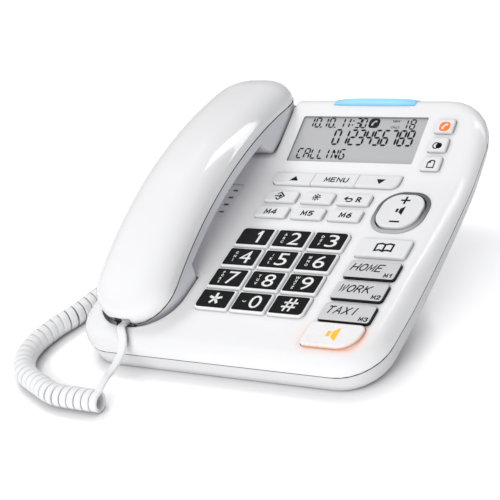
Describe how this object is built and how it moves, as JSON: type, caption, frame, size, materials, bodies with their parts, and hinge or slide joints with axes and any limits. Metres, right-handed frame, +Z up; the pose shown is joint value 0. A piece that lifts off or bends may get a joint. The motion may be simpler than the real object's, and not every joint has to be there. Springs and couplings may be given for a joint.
{
  "type": "corded desk telephone",
  "caption": "Corded desk telephone: sloping base with large digit keys and a display window, an arched handset in its cradle, and a curly cord between them.",
  "frame": {"origin": "middle of the footprint of base and handset, on the table", "axes": "+X to the right across the key face, +Y from the front edge to the rear, +Z up"},
  "size_m": [0.2347, 0.2358, 0.0855],
  "materials": {
    "shell": "gloss white",
    "tray": "gloss light grey",
    "window": "clear",
    "lcd": "reflective grey",
    "light": "translucent blue",
    "mat": "matt",
    "board": "green",
    "metal": "plain",
    "speaker": "dark",
    "jack": "dark",
    "cell": "sleeved",
    "foot": "matt",
    "ring": "dark grey",
    "key": "satin white",
    "memory_key": "grey label window",
    "lit_key": "translucent white",
    "plug": "clear",
    "cord": "satin white"
  },
  "bodies": {
    "base": {"top_cover": "shell", "base_tray": "tray", "display_window": "window", "lcd_panel": "lcd", "ringer_light": "light", "key_mat": "mat", "main_board": "board", "base_speaker": "speaker", "handset_jack": "jack", "line_jack": "jack", "battery_cells": "cell", "battery_door": "tray", "rubber_feet": "foot", "case_screws": "metal", "volume_ring": "ring", "cord_lead": "cord", "cord_coil": "cord", "cord_tail": "cord", "base_plug": "plug"},
    "handset": {"handset_upper_shell": "shell", "handset_lower_shell": "shell", "receiver_capsule": "speaker", "microphone_capsule": "speaker", "handset_weight": "metal", "handset_socket": "jack", "handset_screws": "metal", "handset_plug": "plug"},
    "hook_plunger": {"hook_plunger": "shell"},
    "volume_rocker": {"volume_rocker": "key"},
    "key_1": {"key_1": "key"},
    "key_2": {"key_2": "key"},
    "key_3": {"key_3": "key"},
    "key_4": {"key_4": "key"},
    "key_5": {"key_5": "key"},
    "key_6": {"key_6": "key"},
    "key_7": {"key_7": "key"},
    "key_8": {"key_8": "key"},
    "key_9": {"key_9": "key"},
    "key_star": {"key_star": "key"},
    "key_0": {"key_0": "key"},
    "key_hash": {"key_hash": "key"},
    "key_log": {"key_log": "key"},
    "key_brightness": {"key_brightness": "key"},
    "key_recall": {"key_recall": "key"},
    "key_m4": {"key_m4": "key"},
    "key_m5": {"key_m5": "key"},
    "key_m6": {"key_m6": "key"},
    "key_m1": {"key_m1": "memory_key"},
    "key_m2": {"key_m2": "memory_key"},
    "key_m3": {"key_m3": "memory_key"},
    "key_call_block": {"key_call_block": "key"},
    "key_contrast": {"key_contrast": "key"},
    "key_page": {"key_page": "key"},
    "key_up": {"key_up": "key"},
    "key_menu": {"key_menu": "key"},
    "key_down": {"key_down": "key"},
    "key_phonebook": {"key_phonebook": "key"},
    "key_handsfree": {"key_handsfree": "lit_key"}
  },
  "joints": [
    {"name": "handset_lift", "type": "slide", "parent": "base", "child": "handset", "axis": [0, -0.2079, 0.9781], "range_m": [0, 0.1]},
    {"name": "hook_rise", "type": "slide", "parent": "base", "child": "hook_plunger", "axis": [0, -0.2079, 0.9781], "range_m": [0, 0.003]},
    {"name": "volume_tilt", "type": "hinge", "parent": "base", "child": "volume_rocker", "pos_m": [0.066, 0.01098, 0.03825], "axis": [1, 0, 0], "range_deg": [-3, 3], "stiffness_Nm_per_rad": 0.1},
    {"name": "key_1_press", "type": "slide", "parent": "base", "child": "key_1", "axis": [0, -0.2079, 0.9781], "range_m": [-0.001, 0], "stiffness_N_per_m": 400, "springref_m": 0.001},
    {"name": "key_2_press", "type": "slide", "parent": "base", "child": "key_2", "axis": [0, -0.2079, 0.9781], "range_m": [-0.001, 0], "stiffness_N_per_m": 400, "springref_m": 0.001},
    {"name": "key_3_press", "type": "slide", "parent": "base", "child": "key_3", "axis": [0, -0.2079, 0.9781], "range_m": [-0.001, 0], "stiffness_N_per_m": 400, "springref_m": 0.001},
    {"name": "key_4_press", "type": "slide", "parent": "base", "child": "key_4", "axis": [0, -0.2079, 0.9781], "range_m": [-0.001, 0], "stiffness_N_per_m": 400, "springref_m": 0.001},
    {"name": "key_5_press", "type": "slide", "parent": "base", "child": "key_5", "axis": [0, -0.2079, 0.9781], "range_m": [-0.001, 0], "stiffness_N_per_m": 400, "springref_m": 0.001},
    {"name": "key_6_press", "type": "slide", "parent": "base", "child": "key_6", "axis": [0, -0.2079, 0.9781], "range_m": [-0.001, 0], "stiffness_N_per_m": 400, "springref_m": 0.001},
    {"name": "key_7_press", "type": "slide", "parent": "base", "child": "key_7", "axis": [0, -0.2079, 0.9781], "range_m": [-0.001, 0], "stiffness_N_per_m": 400, "springref_m": 0.001},
    {"name": "key_8_press", "type": "slide", "parent": "base", "child": "key_8", "axis": [0, -0.2079, 0.9781], "range_m": [-0.001, 0], "stiffness_N_per_m": 400, "springref_m": 0.001},
    {"name": "key_9_press", "type": "slide", "parent": "base", "child": "key_9", "axis": [0, -0.2079, 0.9781], "range_m": [-0.001, 0], "stiffness_N_per_m": 400, "springref_m": 0.001},
    {"name": "key_star_press", "type": "slide", "parent": "base", "child": "key_star", "axis": [0, -0.2079, 0.9781], "range_m": [-0.001, 0], "stiffness_N_per_m": 400, "springref_m": 0.001},
    {"name": "key_0_press", "type": "slide", "parent": "base", "child": "key_0", "axis": [0, -0.2079, 0.9781], "range_m": [-0.001, 0], "stiffness_N_per_m": 400, "springref_m": 0.001},
    {"name": "key_hash_press", "type": "slide", "parent": "base", "child": "key_hash", "axis": [0, -0.2079, 0.9781], "range_m": [-0.001, 0], "stiffness_N_per_m": 400, "springref_m": 0.001},
    {"name": "key_log_press", "type": "slide", "parent": "base", "child": "key_log", "axis": [0, -0.2079, 0.9781], "range_m": [-0.001, 0], "stiffness_N_per_m": 400, "springref_m": 0.001},
    {"name": "key_brightness_press", "type": "slide", "parent": "base", "child": "key_brightness", "axis": [0, -0.2079, 0.9781], "range_m": [-0.001, 0], "stiffness_N_per_m": 400, "springref_m": 0.001},
    {"name": "key_recall_press", "type": "slide", "parent": "base", "child": "key_recall", "axis": [0, -0.2079, 0.9781], "range_m": [-0.001, 0], "stiffness_N_per_m": 400, "springref_m": 0.001},
    {"name": "key_m4_press", "type": "slide", "parent": "base", "child": "key_m4", "axis": [0, -0.2079, 0.9781], "range_m": [-0.001, 0], "stiffness_N_per_m": 400, "springref_m": 0.001},
    {"name": "key_m5_press", "type": "slide", "parent": "base", "child": "key_m5", "axis": [0, -0.2079, 0.9781], "range_m": [-0.001, 0], "stiffness_N_per_m": 400, "springref_m": 0.001},
    {"name": "key_m6_press", "type": "slide", "parent": "base", "child": "key_m6", "axis": [0, -0.2079, 0.9781], "range_m": [-0.001, 0], "stiffness_N_per_m": 400, "springref_m": 0.001},
    {"name": "key_m1_press", "type": "slide", "parent": "base", "child": "key_m1", "axis": [0, -0.2079, 0.9781], "range_m": [-0.001, 0], "stiffness_N_per_m": 400, "springref_m": 0.001},
    {"name": "key_m2_press", "type": "slide", "parent": "base", "child": "key_m2", "axis": [0, -0.2079, 0.9781], "range_m": [-0.001, 0], "stiffness_N_per_m": 400, "springref_m": 0.001},
    {"name": "key_m3_press", "type": "slide", "parent": "base", "child": "key_m3", "axis": [0, -0.2079, 0.9781], "range_m": [-0.001, 0], "stiffness_N_per_m": 400, "springref_m": 0.001},
    {"name": "key_call_block_press", "type": "slide", "parent": "base", "child": "key_call_block", "axis": [0, -0.4384, 0.8988], "range_m": [-0.001, 0], "stiffness_N_per_m": 400, "springref_m": 0.001},
    {"name": "key_contrast_press", "type": "slide", "parent": "base", "child": "key_contrast", "axis": [0, -0.4384, 0.8988], "range_m": [-0.001, 0], "stiffness_N_per_m": 400, "springref_m": 0.001},
    {"name": "key_page_press", "type": "slide", "parent": "base", "child": "key_page", "axis": [0, -0.4384, 0.8988], "range_m": [-0.001, 0], "stiffness_N_per_m": 400, "springref_m": 0.001},
    {"name": "key_up_press", "type": "slide", "parent": "base", "child": "key_up", "axis": [0, -0.2079, 0.9781], "range_m": [-0.001, 0], "stiffness_N_per_m": 400, "springref_m": 0.001},
    {"name": "key_menu_press", "type": "slide", "parent": "base", "child": "key_menu", "axis": [0, -0.2079, 0.9781], "range_m": [-0.001, 0], "stiffness_N_per_m": 400, "springref_m": 0.001},
    {"name": "key_down_press", "type": "slide", "parent": "base", "child": "key_down", "axis": [0, -0.2079, 0.9781], "range_m": [-0.001, 0], "stiffness_N_per_m": 400, "springref_m": 0.001},
    {"name": "key_phonebook_press", "type": "slide", "parent": "base", "child": "key_phonebook", "axis": [0, -0.2079, 0.9781], "range_m": [-0.001, 0], "stiffness_N_per_m": 400, "springref_m": 0.001},
    {"name": "key_handsfree_press", "type": "slide", "parent": "base", "child": "key_handsfree", "axis": [0, -0.2079, 0.9781], "range_m": [-0.001, 0], "stiffness_N_per_m": 400, "springref_m": 0.001}
  ],
  "couplings": [
    {"joint": "hook_rise", "follows": "handset_lift", "ratio": 0.03}
  ]
}
